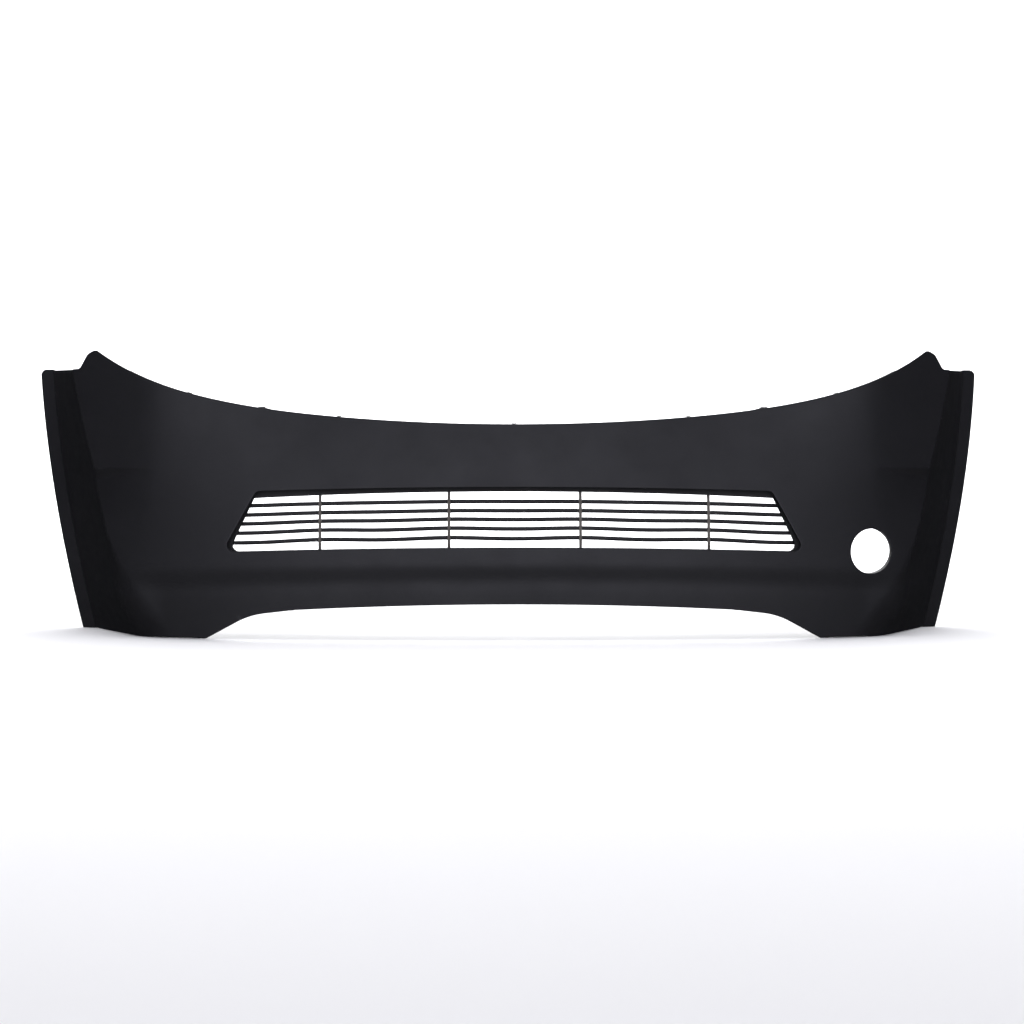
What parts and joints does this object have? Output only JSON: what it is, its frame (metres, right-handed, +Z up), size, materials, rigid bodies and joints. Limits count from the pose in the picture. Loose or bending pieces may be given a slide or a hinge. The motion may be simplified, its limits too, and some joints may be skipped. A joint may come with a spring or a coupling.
{
  "type": "bumper cover",
  "caption": "Moulded front bumper cover with flared wheel-arch lips, a wide bladed grille opening, one round lamp hole and a steel mounting rail.",
  "frame": {"origin": "on the floor under the middle of the cover's outer box, between its two feet", "axes": "+X across the car, along the cover's length, +Y from the nose back towards the wheels, +Z up"},
  "size_m": [1.78, 0.5799, 0.5018],
  "materials": {
    "skin_plastic": "fine satin grain, moulded-in black",
    "grille_plastic": "matt moulded black",
    "rib_plastic": "satin warm grey",
    "sleeve_plastic": "pale grey, lightly grained",
    "rail_steel": "black e-coat, satin",
    "bracket_plastic": "glass-filled, dull",
    "retainer_plastic": "satin black nylon",
    "zinc_steel": "zinc plated",
    "brass": "knurled, turned"
  },
  "bodies": {
    "cover": {"fascia": "skin_plastic", "grille_frame": "grille_plastic", "grille_blade_1": "grille_plastic", "grille_blade_2": "grille_plastic", "grille_blade_3": "grille_plastic", "grille_blade_4": "grille_plastic", "grille_blade_5": "grille_plastic", "grille_rib_1": "rib_plastic", "grille_rib_2": "rib_plastic", "grille_rib_3": "rib_plastic", "grille_rib_4": "rib_plastic", "lamp_sleeve": "sleeve_plastic", "lamp_inserts": "brass", "upper_rail": "rail_steel", "rail_rivets": "zinc_steel", "grille_screws": "zinc_steel", "retainer_sleeve_1": "retainer_plastic", "retainer_sleeve_2": "retainer_plastic", "retainer_sleeve_3": "retainer_plastic", "retainer_sleeve_4": "retainer_plastic", "fender_bracket_left": "bracket_plastic", "fender_bracket_right": "bracket_plastic", "bracket_screws_left": "zinc_steel", "bracket_screws_right": "zinc_steel", "arch_u_nuts_left": "zinc_steel", "arch_u_nuts_right": "zinc_steel"},
    "pin_1": {"retainer_pin_1": "retainer_plastic"},
    "pin_2": {"retainer_pin_2": "retainer_plastic"},
    "pin_3": {"retainer_pin_3": "retainer_plastic"},
    "pin_4": {"retainer_pin_4": "retainer_plastic"}
  },
  "joints": [
    {"name": "pin_1_pull", "type": "slide", "parent": "cover", "child": "pin_1", "axis": [0, 0, 1], "range_m": [0, 0.008]},
    {"name": "pin_2_pull", "type": "slide", "parent": "cover", "child": "pin_2", "axis": [0, 0, 1], "range_m": [0, 0.008]},
    {"name": "pin_3_pull", "type": "slide", "parent": "cover", "child": "pin_3", "axis": [0, 0, 1], "range_m": [0, 0.008]},
    {"name": "pin_4_pull", "type": "slide", "parent": "cover", "child": "pin_4", "axis": [0, 0, 1], "range_m": [0, 0.008]}
  ]
}
